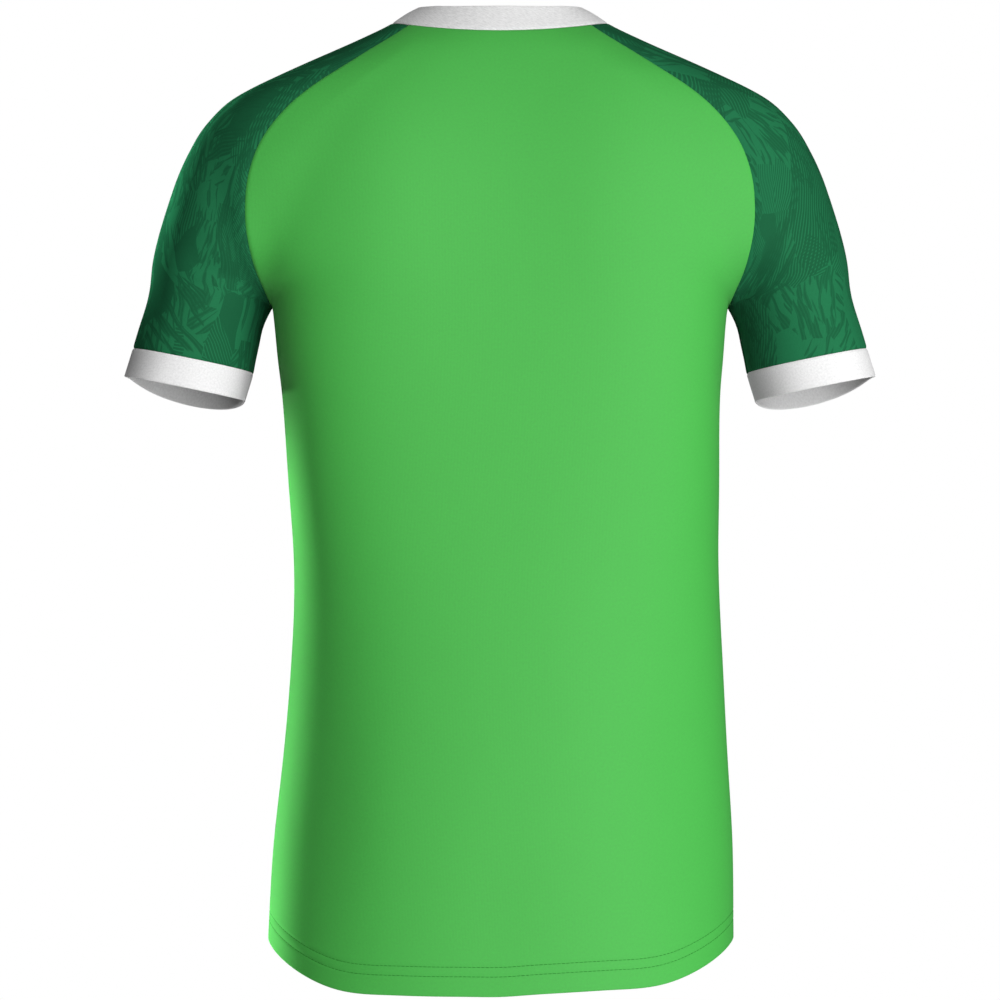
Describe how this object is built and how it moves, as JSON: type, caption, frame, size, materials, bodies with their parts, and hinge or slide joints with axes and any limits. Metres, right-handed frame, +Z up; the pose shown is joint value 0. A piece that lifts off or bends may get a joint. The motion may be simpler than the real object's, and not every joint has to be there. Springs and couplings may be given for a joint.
{
  "type": "football jersey",
  "caption": "Short-sleeved raglan football jersey of knitted cloth, filled out with no wearer, with a round ribbed collar, contrasting cuff bands and a curved tail hem.",
  "frame": {"origin": "midway between the two side neck points of the neck seam, on the line where the wearer's shoulders hold the garment up", "axes": "+Z up, +X towards the wearer's left sleeve, so the garment's front faces -Y and its back +Y"},
  "size_m": [0.583, 0.2499, 0.7481],
  "materials": {
    "body_knit": "matt fine polyester knit, bright green",
    "sleeve_knit": "matt fine polyester knit, dark green with a tonal print",
    "cuff_rib": "matt white knit band",
    "collar_rib": "matt off-white knit band"
  },
  "bodies": {
    "root": {"back_panel": "body_knit", "front_panel": "body_knit", "sleeve_left": "sleeve_knit", "sleeve_right": "sleeve_knit", "cuff_left": "cuff_rib", "cuff_right": "cuff_rib", "collar": "collar_rib"}
  },
  "joints": []
}
